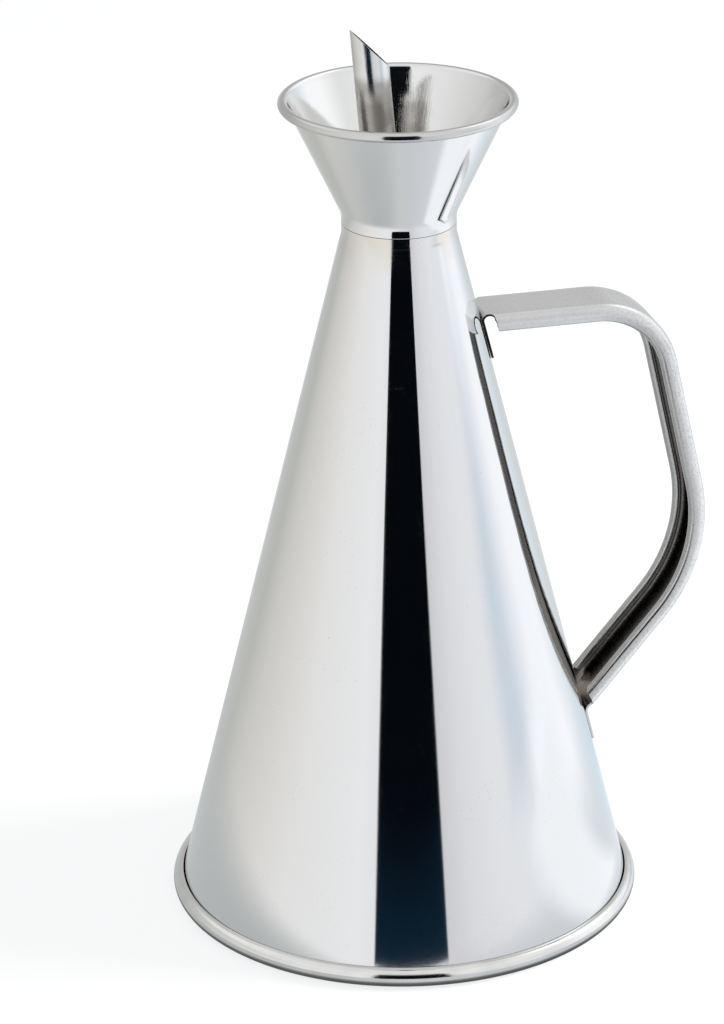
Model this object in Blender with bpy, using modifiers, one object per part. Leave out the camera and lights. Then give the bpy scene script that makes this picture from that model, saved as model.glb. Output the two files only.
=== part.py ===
# A conical oil can of thin steel sheet, with a drip funnel on its neck, a slash-cut pouring tube and a
# strap handle folded to a channel.
# Lengths are in metres. The can stands on z = 0 with its axis on Z. The handle is on +X, and the tube
# leans towards -X, the side that pours.

import math

import bmesh
import bpy
import numpy as np
from mathutils import Matrix, Vector

# Space left between two pieces that touch on the real can
GAP = 0.0003

# Cone
CONE_SHEET = 0.0006
SEAM_HEIGHT = 0.1813
NECK_RADIUS = 0.0142
NECK_LENGTH = 0.0026
FOOT_FLANGE_WIDTH = 0.0014

# Bottom plate, whose rim is rolled over the cone's flange
BASE_RADIUS = 0.0600
BASE_SHEET = 0.0006
BASE_ROLL_DIAMETER = 0.0050

# Drip funnel, whose height is from the seam to the top of its rim
FUNNEL_SHEET = 0.0006
FUNNEL_HALF_ANGLE = math.radians(25.3)
THROAT_BEND_RADIUS = 0.0050
RIM_RADIUS = 0.0293
FUNNEL_HEIGHT = 0.0316
RIM_ROLL_DIAMETER = 0.0025
RIM_ROLL_END_ANGLE = math.radians(-100)

# Neck plate: a shallow cap pushed into the neck, with the tube's hole and the return hole
PLATE_SHEET = 0.0006
PLATE_RISE = 0.0011
PLATE_SKIRT_LENGTH = 0.0032
PLATE_EDGE_RADIUS = 0.0010
RETURN_HOLE_DIAMETER = 0.0072
RETURN_HOLE_OFFSET = 0.0068

# Pouring tube, which rises from the seam to its tip
TUBE_DIAMETER = 0.0088
TUBE_WALL = 0.0005
TUBE_OFFSET = 0.0034
TUBE_LEAN = math.radians(4.7)
TUBE_RISE = 0.0493
TUBE_CUT_ANGLE = math.radians(45)
TUBE_FOOT_LENGTH = 0.0060
TUBE_WELD_LEG = 0.0012
TUBE_WELD_LAND = 0.0003

# Handle, measured on the outer face of the strap
STRAP_SHEET = 0.0006
STRAP_WIDTH = 0.0163
STRAP_DEPTH = 0.0046
STRAP_EDGE_RADIUS = 0.0023
STRAP_CURL_RADIUS = 0.0013
STRAP_CURL_ANGLE = math.radians(200)
HANDLE_TOP_DROP = 0.0243
HANDLE_TOP_REACH = 0.0468
HANDLE_FOOT_HEIGHT = 0.0456
GRIP_LEAN = math.radians(12.3)
LOWER_ARM_ANGLE = math.radians(49.6)
GRIP_TOP_BEND_RADIUS = 0.0215
GRIP_LOW_BEND_RADIUS = 0.0430
TONGUE_CORNER_RADIUS = 0.0020
TOP_TONGUE_BEND_RADIUS = 0.0020
TOP_TONGUE_WIDTH = 0.0100
TOP_TONGUE_LENGTH = 0.0134
TOP_FLANGE_SLANT = 0.0010
LOW_TONGUE_BEND_RADIUS = 0.0030
LOW_TONGUE_WIDTH = 0.0120
LOW_TONGUE_LENGTH = 0.0100
LOW_FLANGE_SLANT = 0.0046
SHOULDER_WIDTH = 0.0140
FLANGE_SETBACK = 0.0003

# How far a cutter runs past what it cuts, and how near two points of a surface count as one
OVERRUN = 0.0020
MERGE_DISTANCE = 0.00001

# Facets
TURN_STEPS = 64
TUBE_STEPS = 32
ROLL_STEPS = 10
BEND_STEPS = 5
HANDLE_BEND_STEPS = (6, 9, 8, 6)
SHARP_ANGLE = math.radians(35)

FINISHES = {
    "polished": ((0.80, 0.81, 0.82), 0.06),
    "satin": ((0.66, 0.65, 0.63), 0.28),
    "brushed": ((0.70, 0.70, 0.69), 0.25),
    "weld": ((0.52, 0.49, 0.45), 0.45),
}


def clear_scene():
    for old in list(bpy.data.objects):
        bpy.data.objects.remove(old)


def new_collection(name):
    collection = bpy.data.collections.new(name)
    bpy.context.scene.collection.children.link(collection)
    return collection


def steel(name):
    colour, roughness = FINISHES[name]
    material = bpy.data.materials.new(name + "_steel")
    material.use_nodes = True
    shader = material.node_tree.nodes["Principled BSDF"]
    shader.inputs["Base Color"].default_value = (*colour, 1)
    shader.inputs["Roughness"].default_value = roughness
    shader.inputs["Metallic"].default_value = 1
    material.diffuse_color = (*colour, 1)
    return material


def arc(centre, radius, start, end, steps):
    """Points of an arc in the plane of the profile, both ends included."""
    return [
        (centre[0] + radius * math.cos(angle), centre[1] + radius * math.sin(angle))
        for angle in np.linspace(start, end, steps + 1)
    ]


def wire(name, points, closed, collection):
    edges = [(i, i + 1) for i in range(len(points) - 1)]
    if closed:
        edges.append((len(points) - 1, 0))
    mesh = bpy.data.meshes.new(name)
    mesh.from_pydata([(x, 0, z) for x, z in points], edges, [])
    obj = bpy.data.objects.new(name, mesh)
    collection.objects.link(obj)
    return obj


def turned(name, profile, collection, steps=TURN_STEPS, closed=True):
    """A profile, given down its outer side, turned about Z."""
    obj = wire(name, profile, closed, collection)
    screw = obj.modifiers.new("Turn", "SCREW")
    screw.axis = "Z"
    screw.angle = math.tau
    screw.steps = steps
    screw.render_steps = steps
    screw.use_merge_vertices = True
    screw.merge_threshold = MERGE_DISTANCE
    return obj


def cut(obj, cutter):
    boolean = obj.modifiers.new("Cut " + cutter.name, "BOOLEAN")
    boolean.operation = "DIFFERENCE"
    boolean.solver = "EXACT"
    boolean.object = cutter


def as_cutter(obj):
    obj.hide_render = True
    obj.display_type = "WIRE"
    return obj


def finish(obj, material):
    """Turns the modifiers into mesh, shades it and gives it its steel."""
    graph = bpy.context.evaluated_depsgraph_get()
    mesh = bpy.data.meshes.new_from_object(obj.evaluated_get(graph))
    obj.modifiers.clear()
    obj.data = mesh
    mesh.shade_smooth()
    mesh.set_sharp_from_angle(angle=SHARP_ANGLE)
    mesh.materials.clear()
    mesh.materials.append(material)


# The base roll's ring of centres, and the cone that stands inside it
ROLL_RADIUS = BASE_ROLL_DIAMETER / 2
ROLL_CENTRE = (BASE_RADIUS - ROLL_RADIUS, ROLL_RADIUS)
CONE_FOOT = (ROLL_CENTRE[0] - GAP, BASE_ROLL_DIAMETER)
CONE_TOP = (NECK_RADIUS, SEAM_HEIGHT - NECK_LENGTH)
CONE_TAPER = (CONE_FOOT[0] - CONE_TOP[0]) / (CONE_TOP[1] - CONE_FOOT[1])
CONE_ANGLE = math.atan(CONE_TAPER)


def cone_radius(height):
    """The cone's outer radius at a height."""
    return CONE_FOOT[0] - (height - CONE_FOOT[1]) * CONE_TAPER


def body_cone(collection):
    inset = CONE_SHEET / math.cos(CONE_ANGLE)
    flange_top = ROLL_CENTRE[1] + CONE_SHEET / 2
    flange_low = flange_top - CONE_SHEET
    flange_radius = cone_radius(flange_top) + FOOT_FLANGE_WIDTH
    neck_inside = NECK_RADIUS - CONE_SHEET
    neck_inside_foot = CONE_FOOT[1] + (CONE_FOOT[0] - inset - neck_inside) / CONE_TAPER
    profile = [
        (NECK_RADIUS, SEAM_HEIGHT),
        CONE_TOP,
        (cone_radius(flange_top), flange_top),
        (flange_radius, flange_top),
        (flange_radius, flange_low),
        (cone_radius(flange_low) - inset, flange_low),
        (neck_inside, neck_inside_foot),
        (neck_inside, SEAM_HEIGHT),
    ]
    return turned("body_cone", profile, collection)


def bottom_plate(collection):
    quarter = math.pi / 2
    profile = [(0, BASE_SHEET)]
    profile += arc(ROLL_CENTRE, ROLL_RADIUS - BASE_SHEET, -quarter, quarter, ROLL_STEPS)
    profile += arc(ROLL_CENTRE, ROLL_RADIUS, quarter, -quarter, ROLL_STEPS)
    profile += [(0, 0)]
    return turned("bottom_plate", profile, collection, closed=False)


COLLAR_FOOT = SEAM_HEIGHT + GAP


def drip_funnel(collection):
    """The collar, the bend at the throat, the sloping wall and the rim rolled outwards, in one sheet."""
    slope = FUNNEL_HALF_ANGLE
    roll = RIM_ROLL_DIAMETER / 2
    centre = (RIM_RADIUS - roll, SEAM_HEIGHT + FUNNEL_HEIGHT - roll)
    leaves_wall = math.pi - slope
    wall_top = (
        centre[0] + (roll - FUNNEL_SHEET) * math.cos(leaves_wall),
        centre[1] + (roll - FUNNEL_SHEET) * math.sin(leaves_wall),
    )
    wall_meets_collar = wall_top[1] - (wall_top[0] - NECK_RADIUS) / math.tan(slope)
    bend_start = wall_meets_collar - THROAT_BEND_RADIUS * math.tan(slope / 2)
    bend_centre = (NECK_RADIUS + THROAT_BEND_RADIUS, bend_start)
    outer_bend = arc(bend_centre, THROAT_BEND_RADIUS, math.pi - slope, math.pi, BEND_STEPS)
    inner_bend = arc(
        bend_centre, THROAT_BEND_RADIUS + FUNNEL_SHEET, math.pi, math.pi - slope, BEND_STEPS
    )
    profile = arc(centre, roll, leaves_wall, RIM_ROLL_END_ANGLE, ROLL_STEPS)
    profile += arc(centre, roll - FUNNEL_SHEET, RIM_ROLL_END_ANGLE, leaves_wall, ROLL_STEPS)
    profile += outer_bend
    profile += [(NECK_RADIUS, COLLAR_FOOT), (NECK_RADIUS - FUNNEL_SHEET, COLLAR_FOOT)]
    profile += inner_bend
    return turned("drip_funnel", profile, collection)


PLATE_TOP = SEAM_HEIGHT + PLATE_RISE


def tube_place():
    """Where the tube's axis meets the top of the neck plate, and its lean."""
    return Matrix.Translation((-TUBE_OFFSET, 0, PLATE_TOP)) @ Matrix.Rotation(-TUBE_LEAN, 4, "Y")


def tube_hole(collection):
    radius = TUBE_DIAMETER / 2 + GAP
    reach = PLATE_SKIRT_LENGTH + TUBE_WELD_LEG + OVERRUN
    profile = [(0, reach), (radius, reach), (radius, -reach), (0, -reach)]
    cutter = turned("tube_hole", profile, collection, TUBE_STEPS, closed=False)
    cutter.matrix_world = tube_place()
    return as_cutter(cutter)


def return_hole(collection):
    radius = RETURN_HOLE_DIAMETER / 2
    high = PLATE_TOP + OVERRUN
    low = PLATE_TOP - PLATE_SHEET - OVERRUN
    cutter = turned(
        "return_hole",
        [(0, high), (radius, high), (radius, low), (0, low)],
        collection,
        TUBE_STEPS,
        closed=False,
    )
    cutter.location.x = RETURN_HOLE_OFFSET
    return as_cutter(cutter)


def neck_plate(collection, holes):
    outside = NECK_RADIUS - max(CONE_SHEET, FUNNEL_SHEET) - GAP
    inside = outside - PLATE_SHEET
    edge = (outside - PLATE_EDGE_RADIUS, PLATE_TOP - PLATE_EDGE_RADIUS)
    skirt_foot = PLATE_TOP - PLATE_SKIRT_LENGTH
    quarter = math.pi / 2
    profile = [(0, PLATE_TOP)]
    profile += arc(edge, PLATE_EDGE_RADIUS, quarter, 0, BEND_STEPS)
    profile += [(outside, skirt_foot), (inside, skirt_foot)]
    profile += arc(edge, PLATE_EDGE_RADIUS - PLATE_SHEET, 0, quarter, BEND_STEPS)
    profile += [(0, PLATE_TOP - PLATE_SHEET)]
    plate = turned("neck_plate", profile, collection, closed=False)
    for hole in holes:
        cut(plate, hole)
    return plate


def slash_cutter(collection):
    """A block whose lower face passes through the tube's tip, on the side that pours."""
    radius = TUBE_DIAMETER / 2
    place = tube_place()
    rise = TUBE_RISE - PLATE_RISE
    length = (rise + radius * math.sin(TUBE_LEAN)) / math.cos(TUBE_LEAN)
    tip = place @ Vector((-radius, 0, length))
    mesh = bpy.data.meshes.new("slash")
    shape = bmesh.new()
    bmesh.ops.create_cube(shape, size=rise)
    bmesh.ops.translate(shape, vec=(0, 0, rise / 2), verts=shape.verts)
    shape.to_mesh(mesh)
    shape.free()
    cutter = bpy.data.objects.new("slash", mesh)
    collection.objects.link(cutter)
    cutter.matrix_world = Matrix.Translation(tip) @ Matrix.Rotation(TUBE_CUT_ANGLE, 4, "Y")
    return as_cutter(cutter)


def spout_tube(collection, slash):
    outside = TUBE_DIAMETER / 2
    inside = outside - TUBE_WALL
    foot = -TUBE_FOOT_LENGTH
    top = TUBE_RISE - PLATE_RISE + OVERRUN
    profile = [(outside, top), (outside, foot), (inside, foot), (inside, top)]
    tube = turned("spout_tube", profile, collection, TUBE_STEPS)
    tube.matrix_world = tube_place()
    cut(tube, slash)
    return tube


def spout_weld(collection, hole):
    """The fillet of weld round the tube's foot, on the neck plate."""
    inner = TUBE_DIAMETER / 2 + GAP + TUBE_WELD_LAND
    outer = inner + TUBE_WELD_LEG
    foot = PLATE_TOP + GAP
    quarter = math.pi / 2
    profile = [(0, foot + TUBE_WELD_LEG)]
    profile += arc((outer, foot + TUBE_WELD_LEG), TUBE_WELD_LEG, math.pi, 3 * quarter, BEND_STEPS)[:-1]
    profile += [(outer, foot), (0, foot)]
    weld = turned("spout_weld", profile, collection, TUBE_STEPS, closed=False)
    weld.location.x = -TUBE_OFFSET
    cut(weld, hole)
    return weld


class RoundedPath:
    """A path of straight runs and arcs in the handle's plane, which is walked by its length.

    The inner side of the loop is on its right. A bend's radius is negative where it turns left.
    """

    def __init__(self, corners, radii):
        self.pieces = []
        self.marks = [0]
        corners = [Vector(corner) for corner in corners]
        start = corners[0]
        for before, corner, after, radius in zip(corners, corners[1:], corners[2:], radii):
            ahead = (corner - before).normalized()
            leaving = (after - corner).normalized()
            turn = ahead.angle(leaving)
            side = math.copysign(1, ahead.y * leaving.x - ahead.x * leaving.y)
            tangent = radius * math.tan(turn / 2)
            self.add_run(start, corner - ahead * tangent)
            to_centre = Vector((ahead.y, -ahead.x)) * side
            centre = corner - ahead * tangent + to_centre * radius
            heading = math.atan2(-to_centre.y, -to_centre.x)
            self.pieces.append(("arc", centre, radius * side, heading, radius * turn))
            self.marks.append(self.marks[-1] + radius * turn)
            start = corner + leaving * tangent
        self.add_run(start, corners[-1])

    def add_run(self, start, end):
        length = (end - start).length
        self.pieces.append(("run", start, (end - start).normalized(), 0, length))
        self.marks.append(self.marks[-1] + length)

    def length(self):
        return self.marks[-1]

    def at(self, distance):
        """The point at a distance along the path, and the direction into the loop there."""
        index = int(np.clip(np.searchsorted(self.marks, distance) - 1, 0, len(self.pieces) - 1))
        kind, origin, detail, heading, _ = self.pieces[index]
        walked = distance - self.marks[index]
        if kind == "run":
            return origin + detail * walked, Vector((detail.y, -detail.x))
        angle = heading - walked / detail
        out = Vector((math.cos(angle), math.sin(angle)))
        return origin + out * abs(detail), out * -math.copysign(1, detail)

    def arc_stations(self, steps):
        """The ends of every run, and points spread along every arc."""
        found = list(self.marks)
        arcs = [index for index, piece in enumerate(self.pieces) if piece[0] == "arc"]
        for index, count in zip(arcs, steps):
            found += list(np.linspace(self.marks[index], self.marks[index + 1], count + 1))
        return found


def handle_path():
    """The outer face of the strap, from the end of the top tongue round to the end of the low one.

    The top tongue folds back into the loop, with this face on the cone. The low one runs on down the
    cone, with this face outside.
    """

    def beside_cone(height, distance=GAP):
        return (cone_radius(height) + distance / math.cos(CONE_ANGLE), height)

    top = SEAM_HEIGHT - HANDLE_TOP_DROP
    top_root = beside_cone(top)
    grip_top = (cone_radius(top) + HANDLE_TOP_REACH, top)
    foot = beside_cone(HANDLE_FOOT_HEIGHT, GAP + STRAP_SHEET)
    rise = math.tan(LOWER_ARM_ANGLE)
    lean = math.tan(GRIP_LEAN)
    low = (foot[1] + rise * (grip_top[0] + lean * top - foot[0])) / (1 + rise * lean)
    grip_low = (grip_top[0] + lean * (top - low), low)
    top_end = beside_cone(top - TOP_TONGUE_LENGTH * math.cos(CONE_ANGLE))
    low_end = beside_cone(
        HANDLE_FOOT_HEIGHT - LOW_TONGUE_LENGTH * math.cos(CONE_ANGLE), GAP + STRAP_SHEET
    )
    return RoundedPath(
        [top_end, top_root, grip_top, grip_low, foot, low_end],
        [TOP_TONGUE_BEND_RADIUS, GRIP_TOP_BEND_RADIUS, GRIP_LOW_BEND_RADIUS, LOW_TONGUE_BEND_RADIUS],
    )


# The strap's section, unfolded: where its flat web, edge bend, flange and curled edge end
WEB_HALF = STRAP_WIDTH / 2 - STRAP_EDGE_RADIUS
EDGE_END = WEB_HALF + STRAP_EDGE_RADIUS * math.pi / 2
FLANGE_END = EDGE_END + STRAP_DEPTH - STRAP_EDGE_RADIUS - STRAP_CURL_RADIUS
STRAP_HALF = FLANGE_END + STRAP_CURL_RADIUS * STRAP_CURL_ANGLE


def folded(across):
    """Where a point of the unfolded strap lies in the folded section: (across, into the loop)."""
    side = math.copysign(1, across)
    flat = abs(across)
    if flat <= WEB_HALF:
        return across, 0
    if flat <= EDGE_END:
        angle = (flat - WEB_HALF) / STRAP_EDGE_RADIUS
        reach = WEB_HALF + STRAP_EDGE_RADIUS * math.sin(angle)
        return side * reach, STRAP_EDGE_RADIUS * (1 - math.cos(angle))
    if flat <= FLANGE_END:
        return side * STRAP_WIDTH / 2, STRAP_EDGE_RADIUS + flat - EDGE_END
    angle = (flat - FLANGE_END) / STRAP_CURL_RADIUS
    reach = STRAP_WIDTH / 2 - STRAP_CURL_RADIUS * (1 - math.cos(angle))
    return side * reach, STRAP_DEPTH - STRAP_CURL_RADIUS * (1 - math.sin(angle))


def strap_columns():
    half = list(np.linspace(0, WEB_HALF, 3))
    half += list(np.linspace(WEB_HALF, EDGE_END, 4)[1:])
    half += list(np.linspace(FLANGE_END, STRAP_HALF, 7))
    return [-flat for flat in reversed(half[1:])] + half


def end_outline(width, slant, tongue_end, bend_end):
    """Half the strap's unfolded width near one end, as (distance from that end, half width).

    tongue_end and bend_end are where the tongue's straight run and its bend stop.
    """
    half = width / 2
    corner = TONGUE_CORNER_RADIUS
    shoulder = SHOULDER_WIDTH / 2
    turns = np.linspace(0, math.pi / 2, BEND_STEPS)
    outline = [(corner * (1 - math.cos(t)), half - corner * (1 - math.sin(t))) for t in turns]
    arch = bend_end - tongue_end
    outline += [
        (tongue_end + arch * math.sin(t), half + (shoulder - half) * (1 - math.cos(t))) for t in turns
    ]
    flange = bend_end + FLANGE_SETBACK
    outline += [(flange, shoulder)]
    for flat in [c for c in strap_columns() if c > shoulder]:
        share = (flat - shoulder) / (STRAP_HALF - shoulder)
        outline.append((flange + slant * share, flat))
    return outline


def handle_strap(collection):
    """The strap's outer face as a sheet, cut to its outline, bent along the path and thickened inwards."""
    path = handle_path()
    length = path.length()
    marks = path.marks
    top_outline = end_outline(TOP_TONGUE_WIDTH, TOP_FLANGE_SLANT, marks[1], marks[2])
    low_outline = end_outline(
        LOW_TONGUE_WIDTH, LOW_FLANGE_SLANT, length - marks[-2], length - marks[-3]
    )
    stations = path.arc_stations(HANDLE_BEND_STEPS)
    stations += [distance for distance, _ in top_outline]
    stations += [length - distance for distance, _ in low_outline]
    stations = sorted(stations)
    stations = stations[:1] + [b for a, b in zip(stations, stations[1:]) if b - a > MERGE_DISTANCE]

    def half_width(distance):
        return min(
            np.interp(distance, *zip(*top_outline)), np.interp(length - distance, *zip(*low_outline))
        )

    def wrap(distance):
        """How far the strap follows the cone's roundness: 1 on a tongue, 0 past its bend."""
        return max(
            np.interp(distance, marks[1:3], (1, 0)), np.interp(distance, marks[-3:-1], (0, 1))
        )

    columns = strap_columns()
    shape = bmesh.new()
    rows = []
    for distance in stations:
        point, inward = path.at(distance)
        limit = half_width(distance)
        share = wrap(distance)
        row = []
        for column in columns:
            flat = float(np.clip(column, -limit, limit))
            across, depth = folded(flat)
            angle = flat / point.x
            fall = share * point.x * (1 - math.cos(angle))
            spread = share * point.x * math.sin(angle) + (1 - share) * across
            row.append(
                shape.verts.new((point.x + inward.x * depth - fall, spread, point.y + inward.y * depth))
            )
        rows.append(row)
    for near, far in zip(rows, rows[1:]):
        for a, b, c, d in zip(near, near[1:], far[1:], far):
            shape.faces.new((d, c, b, a))
    bmesh.ops.remove_doubles(shape, verts=shape.verts, dist=MERGE_DISTANCE)
    bmesh.ops.dissolve_degenerate(shape, edges=shape.edges, dist=MERGE_DISTANCE)
    mesh = bpy.data.meshes.new("handle_strap")
    shape.to_mesh(mesh)
    shape.free()
    strap = bpy.data.objects.new("handle_strap", mesh)
    collection.objects.link(strap)
    sheet = strap.modifiers.new("Sheet", "SOLIDIFY")
    sheet.thickness = STRAP_SHEET
    sheet.offset = -1
    sheet.use_even_offset = True
    return strap


def main():
    clear_scene()
    parts = new_collection("oil_can")
    cutters = new_collection("cutters")
    tube_cutter = tube_hole(cutters)
    holes = [tube_cutter, return_hole(cutters)]
    pieces = {
        body_cone(parts): "polished",
        bottom_plate(parts): "satin",
        drip_funnel(parts): "polished",
        neck_plate(parts, holes): "polished",
        spout_tube(parts, slash_cutter(cutters)): "polished",
        spout_weld(parts, tube_cutter): "weld",
        handle_strap(parts): "brushed",
    }
    bpy.context.view_layer.update()
    steels = {name: steel(name) for name in FINISHES}
    for piece, finish_name in pieces.items():
        finish(piece, steels[finish_name])


main()
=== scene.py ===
import bpy
import math
from mathutils import Matrix, Vector


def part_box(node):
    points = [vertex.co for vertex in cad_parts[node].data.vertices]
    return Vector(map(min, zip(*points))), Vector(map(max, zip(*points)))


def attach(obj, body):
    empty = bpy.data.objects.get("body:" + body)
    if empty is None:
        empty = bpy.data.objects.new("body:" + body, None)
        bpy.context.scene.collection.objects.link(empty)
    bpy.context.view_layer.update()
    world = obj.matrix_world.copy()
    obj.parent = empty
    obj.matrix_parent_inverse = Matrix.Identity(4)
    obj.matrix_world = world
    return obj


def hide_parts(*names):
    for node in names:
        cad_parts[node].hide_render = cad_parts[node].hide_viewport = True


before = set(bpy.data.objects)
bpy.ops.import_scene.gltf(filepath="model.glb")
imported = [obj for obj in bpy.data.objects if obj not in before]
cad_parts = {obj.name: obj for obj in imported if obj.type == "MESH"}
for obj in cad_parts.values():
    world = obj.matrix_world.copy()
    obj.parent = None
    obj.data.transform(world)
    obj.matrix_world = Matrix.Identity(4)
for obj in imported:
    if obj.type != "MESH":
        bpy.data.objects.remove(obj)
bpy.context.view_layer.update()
print("frame loaded:", ", ".join(sorted(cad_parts)))

# An extra ring sits this near each end of a straight run and keeps it straight, if the run is long enough
edgeSupport = 0.00015
shortestRun = 4 * edgeSupport
mergeDistance = 0.00001
closestStations = 0.00002
pathTolerance = 0.000002
smoothAngle = 40
softEdgeSteps = 2
holeSteps = 96


# Working on meshes


def deselectAll():
    if bpy.context.mode != "OBJECT":
        bpy.ops.object.mode_set(mode="OBJECT")
    bpy.ops.object.select_all(action="DESELECT")


def beginEdit(piece):
    bpy.context.view_layer.objects.active = piece
    bpy.ops.object.mode_set(mode="EDIT")
    bpy.ops.mesh.select_all(action="SELECT")


# Turns all faces outward and leaves edit mode
def endEdit():
    bpy.ops.mesh.select_all(action="SELECT")
    bpy.ops.mesh.normals_make_consistent(inside=False)
    bpy.ops.object.mode_set(mode="OBJECT")


def applyModifier(piece, name, kind, **settings):
    modifier = piece.modifiers.new(name, kind)
    for setting, value in settings.items():
        setattr(modifier, setting, value)
    bpy.context.view_layer.objects.active = piece
    bpy.ops.object.modifier_apply(modifier=modifier.name)


def arcPoint(centre, radius, angle):
    turn = math.radians(angle)
    return centre[0] + radius * math.cos(turn), centre[1] + radius * math.sin(turn)


def arcPoints(centre, radius, start, end, stepAngle):
    steps = max(2, round(abs(end - start) / stepAngle))
    return [arcPoint(centre, radius, start + (end - start) * i / steps) for i in range(steps + 1)]


# Puts an extra ring just inside both ends of each straight run of an outline
def supported(outline):
    full = [outline[0]]
    for start, end in zip(outline, outline[1:]):
        length = math.dist(start, end)
        if length > shortestRun:
            share = edgeSupport / length
            for along in (share, 1 - share):
                full.append(tuple(a + (b - a) * along for a, b in zip(start, end)))
        full.append(end)
    return full


# Turns an outline of (radius, height) points: a ring is drawn out and scaled from point to point
def turnedSheet(name, outline, around, filled=False):
    deselectAll()
    outline = supported(outline)
    radius, height = outline[0]
    fill = "TRIFAN" if filled else "NOTHING"
    bpy.ops.mesh.primitive_circle_add(
        vertices=around, radius=radius, fill_type=fill, location=(0, 0, height)
    )
    piece = bpy.context.object
    piece.name = name
    bpy.ops.object.transform_apply(location=True, rotation=False, scale=False)
    beginEdit(piece)
    if filled:
        bpy.ops.mesh.region_to_loop()
    for (fromRadius, fromHeight), (toRadius, toHeight) in zip(outline, outline[1:]):
        bpy.ops.mesh.extrude_region_move(TRANSFORM_OT_translate={"value": (0, 0, toHeight - fromHeight)})
        scale = toRadius / fromRadius
        bpy.ops.transform.resize(value=(scale, scale, 1), center_override=(0, 0, toHeight))
    endEdit()
    return piece


# Gives a surface the thickness of its sheet, on the side that its faces turn away from
def thicken(piece, thickness, **others):
    applyModifier(
        piece, "Sheet", "SOLIDIFY", thickness=thickness, offset=-1, use_even_offset=True, **others
    )


# Rounds the edges at which the surface turns by more than an angle
def softenEdges(piece, width, angle):
    limit = {"limit_method": "ANGLE", "angle_limit": math.radians(angle)}
    applyModifier(piece, "Soft edges", "BEVEL", width=width, segments=softEdgeSteps, **limit)


def settle(piece, material, slotName, *nodes):
    deselectAll()
    piece.select_set(True)
    bpy.context.view_layer.objects.active = piece
    bpy.ops.object.shade_smooth_by_angle(angle=math.radians(smoothAngle))
    piece.data.materials.clear()
    piece.data.materials.append(material)
    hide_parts(*nodes)
    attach(piece, "root")
    print(piece.name, len(piece.data.polygons), "faces")


# Shader maths


class Signal:
    # A socket whose arithmetic adds Math nodes
    def __init__(self, tree, socket=None):
        self.tree = tree
        self.socket = socket

    def make(self, kind, settings=None, inputs=None, output=0):
        node = self.tree.nodes.new(kind)
        for name, value in (settings or {}).items():
            if name == "stops":
                self.setStops(node.color_ramp, value)
            else:
                setattr(node, name, value)
        for name, value in (inputs or {}).items():
            if isinstance(value, Signal):
                self.tree.links.new(value.socket, node.inputs[name])
            else:
                node.inputs[name].default_value = value
        return Signal(self.tree, node.outputs[output] if node.outputs else None)

    @staticmethod
    def setStops(ramp, stops):
        while len(ramp.elements) < len(stops):
            ramp.elements.new(1)
        for element, (position, colour) in zip(ramp.elements, stops):
            element.position = position
            element.color = colour

    def maths(self, operation, first, second=0.0):
        return self.make("ShaderNodeMath", {"operation": operation}, {0: first, 1: second})

    def __add__(self, other):
        return self.maths("ADD", self, other)

    def __radd__(self, other):
        return self.maths("ADD", other, self)

    def __sub__(self, other):
        return self.maths("SUBTRACT", self, other)

    def __rsub__(self, other):
        return self.maths("SUBTRACT", other, self)

    def __mul__(self, other):
        return self.maths("MULTIPLY", self, other)

    def __rmul__(self, other):
        return self.maths("MULTIPLY", other, self)

    def __truediv__(self, other):
        return self.maths("DIVIDE", self, other)

    def vector(self, operation, inputs, output=0):
        return self.make("ShaderNodeVectorMath", {"operation": operation}, inputs, output)

    # The shaded point, in metres from the piece's origin
    def place(self):
        return self.make("ShaderNodeTexCoord", output=3)

    # 0 below low, 1 above high, with a soft change between
    def rising(self, low, high):
        return self.make(
            "ShaderNodeMapRange",
            {"interpolation_type": "SMOOTHSTEP"},
            {"Value": self, "From Min": low, "From Max": high},
        )

    def split(self):
        node = self.make("ShaderNodeSeparateXYZ", None, {0: self}).socket.node
        return [Signal(self.tree, output) for output in node.outputs]

    # The first colour where share is 0 and the second where it is 1
    def blend(self, share, first, second):
        return self.make("ShaderNodeMix", {"data_type": "RGBA"}, {0: share, 6: first, 7: second}, output=2)

    def noise(self, vector, scale, detail):
        return self.make("ShaderNodeTexNoise", None, {"Vector": vector, "Scale": scale, "Detail": detail})

    # The normal of a surface raised by height times depth, on top of another bump if under is given
    def bump(self, height, depth, under=None):
        inputs = {"Height": height, "Distance": depth, "Strength": 1.0}
        if under:
            inputs["Normal"] = under
        return self.make("ShaderNodeBump", None, inputs)


def newMaterial(name):
    material = bpy.data.materials.new(name)
    material.use_nodes = True
    tree = material.node_tree
    tree.nodes.clear()
    return material, Signal(tree)


# Camera, as fitted to the photograph

cameraSettings = {
    "place": (-0.2476, -0.9757, 0.5320),
    "heading": -13.677,
    "pitch": 23.045,
    "roll": -0.671,
    "focalPixels": 4342.6,
    "longSidePixels": 1024,
    "sensorWidth": 36,
    "clipStart": 0.05,
    "clipEnd": 20,
}


def addCamera(settings):
    deselectAll()
    bpy.ops.object.camera_add()
    camera = bpy.context.object
    camera.name = "photoCamera"
    turn = Matrix.Rotation(math.radians(settings["heading"]), 4, "Z")
    tilt = Matrix.Rotation(math.radians(90 - settings["pitch"]), 4, "X")
    roll = Matrix.Rotation(math.radians(settings["roll"]), 4, "Z")
    camera.matrix_world = Matrix.Translation(settings["place"]) @ turn @ tilt @ roll
    camera.data.sensor_width = settings["sensorWidth"]
    camera.data.lens = settings["focalPixels"] * settings["sensorWidth"] / settings["longSidePixels"]
    camera.data.clip_start = settings["clipStart"]
    camera.data.clip_end = settings["clipEnd"]
    bpy.context.scene.camera = camera


# Studio: a white room that only mirrors see in detail, with a dark opening behind the camera. A pair of
# values is where a soft edge starts and ends: azimuths in degrees from the camera's side, positive to the
# picture's right, elevations in degrees, or distances along the floor.

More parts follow.
